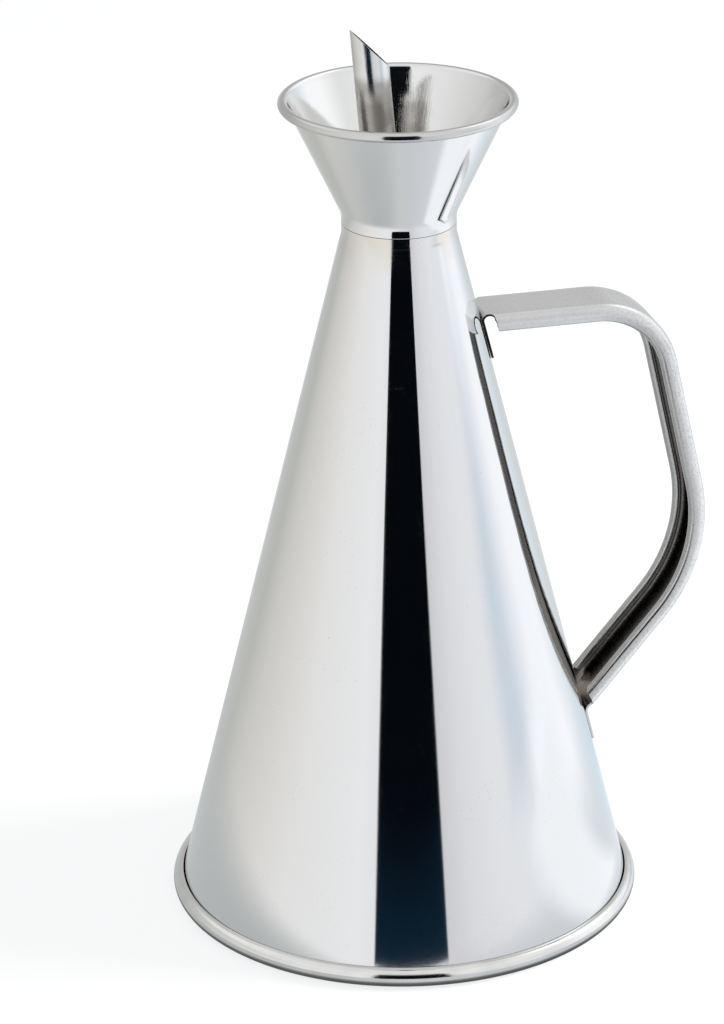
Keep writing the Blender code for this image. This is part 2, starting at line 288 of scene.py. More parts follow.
studio = {
    "cameraAzimuth": math.degrees(math.atan2(cameraSettings["place"][1], cameraSettings["place"][0])),
    # each row is an azimuth and the colour of the room's walls there
    "walls": [
        (-180, 0.80, 0.79, 0.78),
        (-152, 0.64, 0.66, 0.65),
        (-126, 0.64, 0.65, 0.62),
        (-106, 0.82, 0.81, 0.78),
        (-84, 0.95, 0.93, 0.90),
        (-60, 1.06, 1.06, 1.05),
        (-24, 1.12, 1.13, 1.15),
        (24, 0.87, 0.87, 0.90),
        (36, 0.98, 0.99, 1.03),
        (56, 1.06, 1.08, 1.12),
        (77, 1.06, 1.09, 1.14),
        (85, 1.27, 1.30, 1.35),
        (114, 1.28, 1.31, 1.36),
        (132, 0.93, 1.02, 1.10),
        (150, 0.78, 0.82, 0.84),
        (180, 0.72, 0.72, 0.72),
    ],
    # the floor close to the object, which has its own shade on the left and in front
    "nearFloor": [
        (-180, 0.60, 0.60, 0.60),
        (-110, 0.62, 0.65, 0.65),
        (-60, 0.60, 0.63, 0.63),
        (-25, 0.66, 0.69, 0.69),
        (0, 0.78, 0.81, 0.82),
        (30, 0.79, 0.82, 0.86),
        (62, 0.84, 0.88, 0.92),
        (110, 0.90, 0.95, 1.00),
        (132, 0.80, 0.92, 1.00),
        (150, 0.62, 0.76, 0.84),
        (180, 0.60, 0.60, 0.60),
    ],
    "nearFloorTo": (0.09, 0.24),
    # a duller blue strip along the horizon on the right
    "haze": (0.82, 0.92, 1.02),
    "hazeLeft": (60, 76),
    "hazeRight": (72, 104),
    "hazeTop": (-2.0, 1.6),
    "hazeDistance": (0.42, 0.75),
    # a white card that lies on the floor on the right
    "card": (1.22, 1.26, 1.30),
    "cardLeft": (63, 78),
    "cardRight": (96, 110),
    "cardFrom": (0.066, 0.078),
    "cardTo": (0.34, 0.46),
    # the floor is dark where the base touches it
    "contactShade": (0.0600, 0.0642),
    "contactColour": (0.13, 0.13, 0.13),
    # the walls higher up
    "upperWalls": [
        (-180, 0.62, 0.61, 0.60),
        (-150, 0.62, 0.62, 0.62),
        (-115, 0.78, 0.78, 0.78),
        (-60, 1.00, 1.01, 1.01),
        (-20, 1.12, 1.13, 1.14),
        (30, 1.10, 1.10, 1.10),
        (70, 1.02, 1.03, 1.05),
        (95, 1.30, 1.31, 1.33),
        (140, 1.30, 1.31, 1.33),
        (163, 0.75, 0.75, 0.75),
        (180, 0.62, 0.61, 0.60),
    ],
    "upperFrom": (9, 16),
    "ceiling": [
        (-180, 0.62, 0.61, 0.60),
        (-155, 0.75, 0.75, 0.74),
        (-130, 1.15, 1.15, 1.15),
        (-90, 1.08, 1.08, 1.08),
        (90, 1.12, 1.12, 1.12),
        (125, 1.85, 1.85, 1.87),
        (140, 1.60, 1.60, 1.62),
        (152, 0.85, 0.85, 0.85),
        (180, 0.62, 0.61, 0.60),
    ],
    "ceilingFrom": (27, 40),
    "overhead": (1.02, 1.02, 1.02),
    "overheadFrom": (52, 68),
    # the dark opening, with a navy blue strip just under the horizon
    "opening": (0.0015, 0.0025, 0.0045),
    "openingLeft": (-15.1, -14.1),
    "openingRight": (20.9, 21.9),
    "openingTop": (33, 60),
    "navy": (0.0055, 0.021, 0.0425),
    "navyFrom": (-9, -4),
    "navyTo": (-1.5, 1.0),
    # what lights the dull surfaces
    "diffuseLight": 0.55,
}


def byAzimuth(start, azimuth, rows):
    stops = [((angle + 180) / 360, (*colour, 1)) for angle, *colour in rows]
    return start.make("ShaderNodeValToRGB", {"stops": stops}, {"Fac": azimuth / 360 + 0.5})


# Azimuth in degrees of a direction or a place, from the camera's side
def azimuthOf(start, vector):
    turned = start.make(
        "ShaderNodeVectorRotate",
        {"rotation_type": "Z_AXIS"},
        {"Vector": vector, "Angle": -math.radians(studio["cameraAzimuth"])},
    )
    x, y, _ = turned.split()
    return start.maths("ARCTAN2", y, x) * math.degrees(1)


def seenRays(start):
    names = ("Is Camera Ray", "Is Glossy Ray", "Is Transmission Ray")
    return [start.make("ShaderNodeLightPath", output=name) for name in names]


# 1 between the soft left and right edges that the studio gives for a thing of this name
def betweenEdges(azimuth, name):
    return azimuth.rising(*studio[name + "Left"]) * (1 - azimuth.rising(*studio[name + "Right"]))


def buildWorld():
    world = bpy.data.worlds.new("whiteStudio")
    bpy.context.scene.world = world
    world.use_nodes = True
    world.node_tree.nodes.clear()
    start = Signal(world.node_tree)
    direction = start.make("ShaderNodeTexCoord", output=0)
    azimuth = azimuthOf(start, direction)
    elevation = start.maths("ARCSINE", direction.split()[2]) * math.degrees(1)
    walls = byAzimuth(start, azimuth, studio["walls"])
    hazy = betweenEdges(azimuth, "haze") * (1 - elevation.rising(*studio["hazeTop"]))
    walls = start.blend(hazy, walls, (*studio["haze"], 1))
    upper = elevation.rising(*studio["upperFrom"])
    walls = start.blend(upper, walls, byAzimuth(start, azimuth, studio["upperWalls"]))
    high = elevation.rising(*studio["ceilingFrom"])
    room = start.blend(high, walls, byAzimuth(start, azimuth, studio["ceiling"]))
    overhead = elevation.rising(*studio["overheadFrom"])
    room = start.blend(overhead, room, (*studio["overhead"], 1))
    navy = elevation.rising(*studio["navyFrom"]) * (1 - elevation.rising(*studio["navyTo"]))
    opening = start.blend(navy, (*studio["opening"], 1), (*studio["navy"], 1))
    inOpening = betweenEdges(azimuth, "opening") * (1 - elevation.rising(*studio["openingTop"]))
    reflected = start.blend(inOpening, room, opening)
    camera, glossy, through = seenRays(start)
    white = (1, 1, 1, 1)
    mirrored = start.make("ShaderNodeBackground", None, {"Color": reflected, "Strength": 1.0})
    plain = start.make("ShaderNodeBackground", None, {"Color": white, "Strength": studio["diffuseLight"]})
    backdrop = start.make("ShaderNodeBackground", None, {"Color": white, "Strength": 1.0})
    lit = start.make("ShaderNodeMixShader", None, {0: glossy + through, 1: plain, 2: mirrored})
    shown = start.make("ShaderNodeMixShader", None, {0: camera, 1: lit, 2: backdrop})
    start.make("ShaderNodeOutputWorld", None, {"Surface": shown})


# The camera sees the floor as white with the object's shade, and mirrors see it as part of the studio
floorSettings = {
    "front": 0.265,
    "back": 4.0,
    "side": 3.0,
    "height": -0.0002,
    "albedo": (0.30, 0.285, 0.275),
    "ownLight": (0.77, 0.79, 0.80),
}


def addFloor(settings):
    deselectAll()
    deep = settings["front"] + settings["back"]
    bpy.ops.mesh.primitive_plane_add(size=1)
    floor = bpy.context.object
    floor.name = "floor"
    shape = Matrix.Diagonal((2 * settings["side"], deep, 1, 1))
    shift = Matrix.Translation((0, deep / 2 - settings["front"], settings["height"]))
    heading = Matrix.Rotation(math.radians(studio["cameraAzimuth"] + 90), 4, "Z")
    floor.data.transform(heading @ shift @ shape)
    material, start = newMaterial("paleFloor")
    place = start.place()
    azimuth = azimuthOf(start, place)
    distance = start.vector("LENGTH", {0: place}, output=1)
    far = distance.rising(*studio["nearFloorTo"])
    near = byAzimuth(start, azimuth, studio["nearFloor"])
    mirrored = start.blend(far, near, byAzimuth(start, azimuth, studio["walls"]))
    card = betweenEdges(azimuth, "card") * distance.rising(*studio["cardFrom"])
    card = card * (1 - distance.rising(*studio["cardTo"]))
    mirrored = start.blend(card, mirrored, (*studio["card"], 1))
    hazy = betweenEdges(azimuth, "haze") * distance.rising(*studio["hazeDistance"])
    mirrored = start.blend(hazy, mirrored, (*studio["haze"], 1))
    clear = distance.rising(*studio["contactShade"])
    mirrored = start.blend(clear, (*studio["contactColour"], 1), mirrored)
    camera, glossy, through = seenRays(start)
    own = (*settings["ownLight"], 1)
    light = start.make("ShaderNodeEmission", None, {"Color": own, "Strength": camera + through})
    diffuse = start.make("ShaderNodeBsdfDiffuse", None, {"Color": (*settings["albedo"], 1)})
    matt = start.make("ShaderNodeAddShader", None, {0: light, 1: diffuse})
    reflection = start.make("ShaderNodeEmission", None, {"Color": mirrored, "Strength": 1.0})
    shown = start.make("ShaderNodeMixShader", None, {0: glossy, 1: matt, 2: reflection})
    start.make("ShaderNodeOutputMaterial", None, {"Surface": shown})
    floor.data.materials.append(material)


lampSettings = {
    "azimuth": 92,
    "elevation": 28,
    "distance": 1.2,
    "size": 0.45,
    "energy": 15,
    "colour": (1.0, 0.93, 0.87),
}


def addLamp(settings):
    deselectAll()
    azimuth = math.radians(studio["cameraAzimuth"] + settings["azimuth"])
    elevation = math.radians(settings["elevation"])
    level = math.cos(elevation)
    away = Vector((math.cos(azimuth) * level, math.sin(azimuth) * level, math.sin(elevation)))
    bpy.ops.object.light_add(type="AREA", location=away * settings["distance"])
    lamp = bpy.context.object
    lamp.name = "keyLamp"
    lamp.rotation_euler = away.to_track_quat("Z", "Y").to_euler()
    lamp.data.size = settings["size"]
    lamp.data.energy = settings["energy"]
    lamp.data.color = settings["colour"]
    lamp.visible_glossy = False
    lamp.visible_camera = False


# Steels. A noise is given as its scale and detail, and before them how it is squeezed round and along where
# it follows a turned surface. A mask is given as the two values between which it rises.

steelSettings = {
    "colour": (0.70, 0.70, 0.70, 1),
    "roughness": 0.030,
    "waves": (45.0, 1.0),
    "waveDepth": 0.000010,
    "hairs": (60, 2600, 0.9, 3.0),
    "hairDepth": 0.0000006,
    "clouds": (70.0, 3.0),
    "cloudRoughness": 0.030,
    "dust": (2600.0, 1.0),
    "dustMask": (0.72, 0.78),
    "dustyClouds": (0.45, 0.65),
    "dustColour": (0.46, 0.47, 0.48, 1),
    "dustRoughness": 0.15,
    "dustDullness": 0.25,
    "tint": (90.0, 2.0),
    "tintMask": (0.40, 0.62),
    "tintFade": (0.001, 0.011),
    "tintColour": (0.66, 0.57, 0.47, 1),
    "tintShare": 0.5,
    "tintRoughness": 0.08,
}


# A noise on a turned surface, squeezed by around as it runs round and by along as it runs up
def roundNoise(start, place, around, along, scale, detail):
    x, y, z = place.split()
    flat = start.make("ShaderNodeCombineXYZ", None, {0: x, 1: y})
    outward = start.vector("NORMALIZE", {0: flat})
    ringed = start.vector("SCALE", {0: outward, "Scale": float(around)})
    lifted = start.make("ShaderNodeCombineXYZ", None, {2: z * along})
    return start.noise(start.vector("ADD", {0: ringed, 1: lifted}), scale, detail)


def radiusOf(start, place):
    x, y, _ = place.split()
    flat = start.make("ShaderNodeCombineXYZ", None, {0: x, 1: y})
    return start.vector("LENGTH", {0: flat}, output=1)


# The plain roughness, and what each mask adds to it
def roughened(settings, **masks):
    roughness = settings["roughness"]
    for name, mask in masks.items():
        roughness = roughness + settings[name + "Roughness"] * mask
    return roughness


# The plain colour with cloudy patches of its shade
def shaded(start, settings, cloud):
    share = cloud.rising(*settings["shadeMask"]) * settings["shadeShare"]
    return start.blend(share, settings["colour"], settings["shade"])


def finishSteel(start, colour, roughness, normal, metallic=1.0):
    shader = start.make(
        "ShaderNodeBsdfPrincipled",
        None,
        {"Base Color": colour, "Metallic": metallic, "Roughness": roughness, "Normal": normal},
    )
    start.make("ShaderNodeOutputMaterial", None, {"Surface": shader})


# Mirror-bright sheet: slow waves from spinning, hairlines, a little dust and heat tint by the neck seam
def polishedSteel(settings):
    material, start = newMaterial("polishedSteel")
    place = start.place()
    height = place.split()[2]
    cloud = start.noise(place, *settings["clouds"])
    dust = start.noise(place, *settings["dust"]).rising(*settings["dustMask"])
    dust = dust * cloud.rising(*settings["dustyClouds"])
    onCone = (seamHeight + gap - height).rising(0, gap)
    tint = onCone * (1 - (seamHeight - height).rising(*settings["tintFade"]))
    tint = tint * start.noise(place, *settings["tint"]).rising(*settings["tintMask"])
    colour = start.blend(tint * settings["tintShare"], settings["colour"], settings["tintColour"])
    colour = start.blend(dust, colour, settings["dustColour"])
    waves = start.bump(start.noise(place, *settings["waves"]), settings["waveDepth"])
    hairs = roundNoise(start, place, *settings["hairs"])
    normal = start.bump(hairs, settings["hairDepth"], waves)
    roughness = roughened(settings, cloud=cloud, dust=dust, tint=tint)
    finishSteel(start, colour, roughness, normal, 1 - settings["dustDullness"] * dust)
    return material


satinSettings = {
    "clouds": (400.0, 3.0),
    "cloudRoughness": 0.10,
    "lines": (300, 8000, 1.0, 2.0),
    "lineDepth": 0.000004,
    "patches": (120.0, 4.0),
    "patchMask": (0.35, 0.75),
    "patchShare": 0.35,
    "patchDarkness": 0.72,
    # near-black colour of the darkened ring along the base's crease
    "darkRingColour": (0.07, 0.065, 0.06, 1),
}


# Duller sheet with fine turning lines; given two radii, it turns near-black inside the first and fades back
# by the second
def satinSteel(name, settings, colour, roughness, darkRingEdge=None):
    material, start = newMaterial(name)
    place = start.place()
    cloud = start.noise(place, *settings["clouds"])
    lines = roundNoise(start, place, *settings["lines"])
    patches = start.noise(place, *settings["patches"]).rising(*settings["patchMask"])
    darker = tuple(settings["patchDarkness"] * c for c in colour)
    shade = start.blend(patches * settings["patchShare"], (*colour, 1), (*darker, 1))
    # darker towards the middle: near-black inside the first radius, clear past the second, along the base's
    # crease
    if darkRingEdge:
        pastRing = radiusOf(start, place).rising(*darkRingEdge)
        shade = start.blend(pastRing, settings["darkRingColour"], shade)
    normal = start.bump(lines, settings["lineDepth"])
    finishSteel(start, shade, roughness + settings["cloudRoughness"] * cloud, normal)
    return material


# Cone

coneSettings = {
    "sheet": 0.0006,
    "neckRadius": 0.0142,
    "neckLength": 0.0026,
    "neckBend": 0.004,
    "neckBendStep": 2,
    "footFlangeWidth": 0.0014,
    "footFlangeHeight": 0.0028,
    "softEdge": (0.00008, 60),
    "around": 256,
}
gap = 0.0003
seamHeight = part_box("body_cone")[1].z
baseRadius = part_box("bottom_plate")[1].x
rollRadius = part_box("bottom_plate")[1].z / 2
coneFoot = (baseRadius - rollRadius - gap, 2 * rollRadius)
coneTop = (coneSettings["neckRadius"], seamHeight - coneSettings["neckLength"])
coneTaper = (coneFoot[0] - coneTop[0]) / (coneTop[1] - coneFoot[1])
coneAngle = math.degrees(math.atan(coneTaper))


def coneRadius(height):
    return coneFoot[0] - (height - coneFoot[1]) * coneTaper


def buildBody(settings, material):
    bend = settings["neckBend"]
    tangent = bend * math.tan(math.radians(coneAngle / 2))
    centre = (coneTop[0] + bend, coneTop[1] + tangent)
    outline = [(coneTop[0], seamHeight)]
    outline += arcPoints(centre, bend, 180, 180 + coneAngle, settings["neckBendStep"])
    foot = settings["footFlangeHeight"]
    outline += [(coneRadius(foot), foot), (coneRadius(foot) + settings["footFlangeWidth"], foot)]
    body = turnedSheet("bodyCone", outline, settings["around"])
    thicken(body, settings["sheet"])
    softenEdges(body, *settings["softEdge"])
    settle(body, material, "polished_steel", "body_cone")


# Base

baseSettings = {
    "sheet": 0.0006,
    "innerRings": (0.02, 0.04),
    "rollStep": 9,
    "around": 256,
    "colour": (0.70, 0.70, 0.69),
    "roughness": 0.05,
    # how far out from its crease the near-black darkening starts to fade and ends
    "darkRing": (0.0004, 0.0011),
}


def buildBase(settings, material):
    centre = (baseRadius - rollRadius, rollRadius)
    outline = [(ring, 0) for ring in settings["innerRings"]]
    outline += arcPoints(centre, rollRadius, -90, 90, settings["rollStep"])
    base = turnedSheet("basePlate", outline, settings["around"], filled=True)
    thicken(base, settings["sheet"])
    settle(base, material, "satin_steel", "bottom_plate")


# Funnel

funnelSettings = {
    "sheet": 0.0006,
    "halfAngle": 25.3,
    "throatBend": 0.0065,
    "throatStep": 3,
    "rollRadius": 0.00125,
    "rollEnd": -100,
    "rollStep": 10,
    "rimHeight": 0.0316,
    "seat": 0.00008,
    "softEdge": (0.0001, 60),
    "around": 256,
    "roughness": 0.045,
    "clouds": (80.0, 3.0),
    "cloudRoughness": 0.03,
    "insideColour": (0.73, 0.73, 0.715, 1),
    "insideShare": 0.6,
    "insideEdge": 0.0001,
    "insideFade": 0.0012,
    "streaks": (22, 60, 4.0, 4.0),
    "streakDepth": 0.000012,
    "streakRoughness": 0.05,
    "scouredSmoothness": 0.015,
    "scratches": (90, 260, 4.0, 2.0),
    "scratchShare": 0.2,
    "rimColour": (0.56, 0.56, 0.555, 1),
    "rimRoughness": 0.05,
    "rimUp": (0, 0.0003),
    "rimOut": (0.0003, 0.0009),
}


# The curl's own facets in the CAD model are a little low at the top, so its height comes from the seam
def rimCentre(settings):
    roll = settings["rollRadius"]
    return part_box("drip_funnel")[1].x - roll, seamHeight + settings["rimHeight"] - roll


def funnelWallTop(settings):
    return arcPoint(rimCentre(settings), settings["rollRadius"], 180 - settings["halfAngle"])


# The funnel is a mirror outside and only scoured inside, in streaks down its wall
def funnelSteel(settings):
    material, start = newMaterial("funnelSteel")
    place = start.place()
    height = place.split()[2]
    radius = radiusOf(start, place)
    topRadius, topHeight = funnelWallTop(settings)
    flare = math.tan(math.radians(settings["halfAngle"]))
    sheetMiddle = topRadius + settings["sheet"] / 2 - (topHeight - height) * flare
    inside = (sheetMiddle - radius).rising(0, settings["insideEdge"])
    inside = inside * (1 - height.rising(topHeight - settings["insideFade"], topHeight))
    streaks = roundNoise(start, place, *settings["streaks"])
    scratches = roundNoise(start, place, *settings["scratches"])
    cloud = start.noise(place, *settings["clouds"])
    share = settings["scratchShare"]
    scoured = start.bump(streaks * (1 - share) + scratches * share, settings["streakDepth"])
    smooth = start.bump(start.noise(place, *steelSettings["waves"]), steelSettings["waveDepth"])
    normal = start.blend(inside, smooth, scoured)
    streaky = inside * (settings["streakRoughness"] * streaks - settings["scouredSmoothness"])
    colour = start.blend(inside * settings["insideShare"], steelSettings["colour"], settings["insideColour"])
    rimLow = rimCentre(settings)[1] - settings["rollRadius"]
    rim = (height - rimLow).rising(*settings["rimUp"]) * (radius - topRadius).rising(*settings["rimOut"])
    colour = start.blend(rim, colour, settings["rimColour"])
    finishSteel(start, colour, roughened(settings, cloud=cloud, rim=rim) + streaky, normal)
    return material


def buildFunnel(settings, material):
    sheet, slope = settings["sheet"], settings["halfAngle"]
    roll = settings["rollRadius"]
    centre = rimCentre(settings)
    leaves = 180 - slope
    wallTop = funnelWallTop(settings)
    collar = coneSettings["neckRadius"]
    inside = collar - sheet
    meets = wallTop[1] - (wallTop[0] - inside) / math.tan(math.radians(slope))
    bend = settings["throatBend"] + sheet
    bendCentre = (inside + bend, meets - bend * math.tan(math.radians(slope / 2)))
    outline = arcPoints(centre, roll, settings["rollEnd"], leaves, settings["rollStep"])
    outline += arcPoints(bendCentre, bend, leaves, 180, settings["throatStep"])
    outline += [(inside, seamHeight + settings["seat"])]
    funnel = turnedSheet("dripFunnel", outline, settings["around"])
    thicken(funnel, sheet)
    softenEdges(funnel, *settings["softEdge"])
    settle(funnel, material, "polished_steel", "drip_funnel")


# Neck plate, its tube and the weld between them

tubeSettings = {
    "radius": 0.0044,
    "wall": 0.0005,
    "offset": 0.0034,
    "lean": 4.7,
    "cutAngle": 45,
    "footLength": 0.0060,
    "softEdge": (0.00006, 40),
    "around": 128,
    "colour": (0.64, 0.64, 0.63, 1),
    "shade": (0.54, 0.53, 0.51, 1),
    # darker, cloudy tone for the tube's lower part, towards the plate
    "film": (0.40, 0.385, 0.365, 1),
    "lowerToneDark": (0.30, 0.285, 0.265, 1),
    "lowerToneFrom": (0.0105, 0.0135),
    "lowerToneMask": (0.4, 0.6),
    "filmRoughness": 0.08,
    # painted shade: the bore inside the tube is near-black
    "boreShadeColour": (0.06, 0.06, 0.065, 1),
    "boreRoughness": 0.2,
    "roughness": 0.08,
    "clouds": (150.0, 3.0),
    "cloudRoughness": 0.08,
    "shadeMask": (0.35, 0.65),
    "shadeShare": 0.5,
    "lines": (40, 30, 4.0, 3.0),
    "lineDepth": 0.000012,
}


def tubePlace():
    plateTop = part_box("neck_plate")[1].z
    lean = Matrix.Rotation(-math.radians(tubeSettings["lean"]), 4, "Y")
    return Matrix.Translation((-tubeSettings["offset"], 0, plateTop)) @ lean


# Drawn tube with lines along its length, duller than the sheet, darker and cloudier towards the bottom,
# and near-black with painted shade in its bore
def tubeSteel(settings):
    material, start = newMaterial("tubeSteel")
    place = start.place()
    foot = start.vector("SUBTRACT", {0: place, 1: tubePlace().translation})
    lean = math.radians(settings["lean"])
    upright = start.make(
        "ShaderNodeVectorRotate", {"rotation_type": "Y_AXIS"}, {"Vector": foot, "Angle": lean}
    )
    wallMiddle = settings["radius"] - settings["wall"] / 2
    bore = (wallMiddle - radiusOf(start, upright)).rising(0, settings["wall"] / 4)
    lines = roundNoise(start, place, *settings["lines"])
    cloud = start.noise(place, *settings["clouds"])
    colour = shaded(start, settings, cloud)
    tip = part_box("spout_tube")[1].z
    # darker towards the bottom: below a set depth under the tip the tube takes a darker, cloudy tone
    film = (tip - place.split()[2]).rising(*settings["lowerToneFrom"])
    lowerToneColour = start.blend(cloud.rising(*settings["lowerToneMask"]), settings["film"], settings["lowerToneDark"])
    colour = start.blend(film, colour, lowerToneColour)
    # painted shade inside the bore
    colour = start.blend(bore, colour, settings["boreShadeColour"])
    normal = start.bump(lines, settings["lineDepth"])
    finishSteel(start, colour, roughened(settings, cloud=cloud, film=film, bore=bore), normal)
    return material


def buildTube(settings, material):
    radius, foot = settings["radius"], -settings["footLength"]
    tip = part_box("spout_tube")[1].z
    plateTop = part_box("neck_plate")[1].z
    lean = math.radians(settings["lean"])
    length = (tip - plateTop + radius * math.sin(lean)) / math.cos(lean)
    outline = [(radius, foot), (radius, length + radius)]
    tube = turnedSheet("pouringTube", outline, settings["around"])
    thicken(tube, settings["wall"])
    tube.data.transform(tubePlace())
    tipPoint = tubePlace() @ Vector((-radius, 0, length))
    cut = math.radians(settings["cutAngle"])
    beginEdit(tube)
    bpy.ops.mesh.bisect(
        plane_co=tipPoint, plane_no=(math.sin(cut), 0, math.cos(cut)), use_fill=True, clear_outer=True
    )
    bpy.ops.object.mode_set(mode="OBJECT")
    softenEdges(tube, *settings["softEdge"])
    settle(tube, material, "polished_steel", "spout_tube")


# Cuts a round hole along the upright line of a place, as far as reach to both sides of it
def drill(piece, radius, reach, place):
    deselectAll()
    bpy.ops.mesh.primitive_cylinder_add(vertices=holeSteps, radius=radius, depth=2 * reach)
    cutter = bpy.context.object
    cutter.data.transform(place)
    applyModifier(piece, "Hole", "BOOLEAN", object=cutter, operation="DIFFERENCE", solver="EXACT")
    bpy.data.objects.remove(cutter)


plateSettings = {
    "sheet": 0.0006,
    "edgeRadius": 0.0010,
    "returnHoleRadius": 0.0036,
    "returnHoleOffset": 0.0068,
    "edgeStep": 9,
    "cutReach": 0.0024,
    "around": 192,
}


def buildPlate(settings, material):
    low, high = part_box("neck_plate")
    edge = settings["edgeRadius"]
    centre = (high.x - edge, high.z - edge)
    outline = [(high.x / 2, high.z)] + arcPoints(centre, edge, 90, 0, settings["edgeStep"])
    outline += [(high.x, low.z)]
    plate = turnedSheet("neckPlate", outline, settings["around"], filled=True)
    thicken(plate, settings["sheet"])
    reach = settings["cutReach"]
    returnHole = Matrix.Translation((settings["returnHoleOffset"], 0, high.z))
    drill(plate, settings["returnHoleRadius"], reach, returnHole)
    drill(plate, tubeSettings["radius"] + gap, reach, tubePlace())
    settle(plate, material, "polished_steel", "neck_plate")


weldSettings = {
    "leg": 0.0012,
    "land": 0.0003,
    "bendStep": 9,
    "cutReach": 0.0036,
    "around": 128,
    "colour": (0.45, 0.42, 0.38),
    "roughness": 0.4,
}


def buildWeld(settings, material):
    hole = tubeSettings["radius"] + gap
    inner = hole + settings["land"]
    leg = settings["leg"]
    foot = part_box("spout_weld")[0].z
    outline = [(inner / 2, foot + leg)]
    outline += arcPoints((inner + leg, foot + leg), leg, 180, 270, settings["bendStep"])[:-1]
    outline += [(inner + leg, foot), (inner / 2, foot)]
    weld = turnedSheet("tubeWeld", outline, settings["around"], filled=True)
    beginEdit(weld)
    bpy.ops.mesh.select_all(action="DESELECT")
    bpy.ops.mesh.select_non_manifold()
    bpy.ops.mesh.fill()
    endEdit()
    weld.data.transform(Matrix.Translation((-tubeSettings["offset"], 0, 0)))
    drill(weld, hole, settings["cutReach"], tubePlace())
    settle(weld, material, "weld_steel", "spout_weld")


# Handle: a flat blank whose outline is cut first and which is then folded along the handle's path

handleSettings = {
    "sheet": 0.0006,
    "width": 0.0163,
    "depth": 0.0046,
    "edgeRadius": 0.0023,
    "curlRadius": 0.0013,
    "curlAngle": 200,
    "topDrop": 0.0243,
    "topReach": 0.0468,
    "footHeight": 0.0456,
    "gripLean": 12.3,
    "lowerArmAngle": 49.6,
    "gripTopBend": 0.0215,
    "gripLowBend": 0.0430,
    "topTongueBend": 0.0020,
    "lowTongueBend": 0.0030,
    "topTongueWidth": 0.0100,
    "lowTongueWidth": 0.0110,
    "tongueCorner": 0.0020,
    "topTongue": 0.0134,
    "lowTongue": 0.0100,
    "topShoulder": 0.0168,
    "lowShoulder": 0.0140,
    "topSetback": 0.0003,
    "lowSetback": 0.0003,
    "topFlangeSlant": 0.0016,
    "lowFlangeSlant": 0.0034,
    "topCurlSetback": 0.0035,
    "lowCurlSetback": 0.0,
    "seat": 0.00014,
    "webSteps": 6,
    "edgeSteps": 8,
    "curlSteps": 14,
    "runSteps": 6,
    "fewestBendSteps": 6,
    "stepAngle": 3,
    "cornerStep": 10,
    "softEdge": (0.00008, 60),
    "patternScale": 10.0,
}


def shareBetween(value, low, high):
    return min(1.0, max(0.0, (value - low) / (high - low)))


# Straight runs and arcs in the handle's plane, each with its length, along the strap's outer face. An arc's
# radius is negative where the path turns left. The top tongue folds back into the loop, with this face on the
# cone, and the low one runs on down the cone, with this face outside.
def handlePath(settings):
    lift = settings["seat"] / math.cos(math.radians(coneAngle))
    lowLift = (settings["seat"] + settings["sheet"]) / math.cos(math.radians(coneAngle))
    top = seamHeight - settings["topDrop"]
    foot = settings["footHeight"]
    rise = math.tan(math.radians(settings["lowerArmAngle"]))
    lean = math.tan(math.radians(settings["gripLean"]))
    gripTop = coneRadius(top) + settings["topReach"]
    footX = coneRadius(foot) + lowLift
    low = (foot + rise * (gripTop + lean * top - footX)) / (1 + rise * lean)
    upright = math.cos(math.radians(coneAngle))
    topEnd = top - settings["topTongue"] * upright
    lowEnd = foot - settings["lowTongue"] * upright
    corners = [
        (coneRadius(topEnd) + lift, topEnd),
        (coneRadius(top) + lift, top),
        (gripTop, top),
        (gripTop + lean * (top - low), low),
        (footX, foot),
        (coneRadius(lowEnd) + lowLift, lowEnd),
    ]
    corners = [Vector(corner) for corner in corners]
    bends = [settings[key] for key in ("topTongueBend", "gripTopBend", "gripLowBend", "lowTongueBend")]
    pieces = []
    start = corners[0]
    for before, corner, after, radius in zip(corners, corners[1:], corners[2:], bends):
        ahead = (corner - before).normalized()
        leaving = (after - corner).normalized()
        turn = ahead.angle(leaving)
        side = math.copysign(1, ahead.y * leaving.x - ahead.x * leaving.y)
        tangent = radius * math.tan(turn / 2)
        end = corner - ahead * tangent
        pieces.append(("run", start, ahead, (end - start).length))
        toCentre = Vector((ahead.y, -ahead.x)) * side
        heading = math.atan2(-toCentre.y, -toCentre.x)
        pieces.append(("arc", end + toCentre * radius, (radius * side, heading), radius * turn))
        start = corner + leaving * tangent
    pieces.append(("run", start, (corners[-1] - start).normalized(), (corners[-1] - start).length))
    marks = [0.0]
    for piece in pieces:
        marks.append(marks[-1] + piece[3])
    return pieces, marks


# The place on the path at a distance along it, and the direction into the loop there
def alongPath(pieces, marks, distance):
    index = max(i for i, mark in enumerate(marks[:-1]) if distance >= mark - pathTolerance)
    kind, origin, detail, _ = pieces[index]
    walked = distance - marks[index]
    if kind == "run":
        return origin + detail * walked, Vector((detail.y, -detail.x))
    radius, heading = detail
    angle = heading - walked / radius
    out = Vector((math.cos(angle), math.sin(angle)))
    return origin + out * abs(radius), out * -math.copysign(1, radius)


# How far from the blank's middle the web ends, the side starts and ends, and the curled edge ends
def foldMarks(settings):
    web = settings["width"] / 2 - settings["edgeRadius"]
    edge = web + settings["edgeRadius"] * math.pi / 2
    side = edge + settings["depth"] - settings["edgeRadius"] - settings["curlRadius"]
    return web, edge, side, side + settings["curlRadius"] * math.radians(settings["curlAngle"])


# Where a point of the flat blank lies in the folded section: how far across and how far into the loop
def folded(settings, flat):
    web, edge, side, _ = foldMarks(settings)
    edgeRadius, curl = settings["edgeRadius"], settings["curlRadius"]
    half, depth = settings["width"] / 2, settings["depth"]
    sign, flat = math.copysign(1, flat), abs(flat)
    if flat <= web:
        return sign * flat, 0.0
    if flat <= edge:
        angle = (flat - web) / edgeRadius
        return sign * (web + edgeRadius * math.sin(angle)), edgeRadius * (1 - math.cos(angle))
    if flat <= side:
        return sign * half, edgeRadius + flat - edge
    angle = (flat - side) / curl
    return sign * (half - curl * (1 - math.cos(angle))), depth - curl * (1 - math.sin(angle))


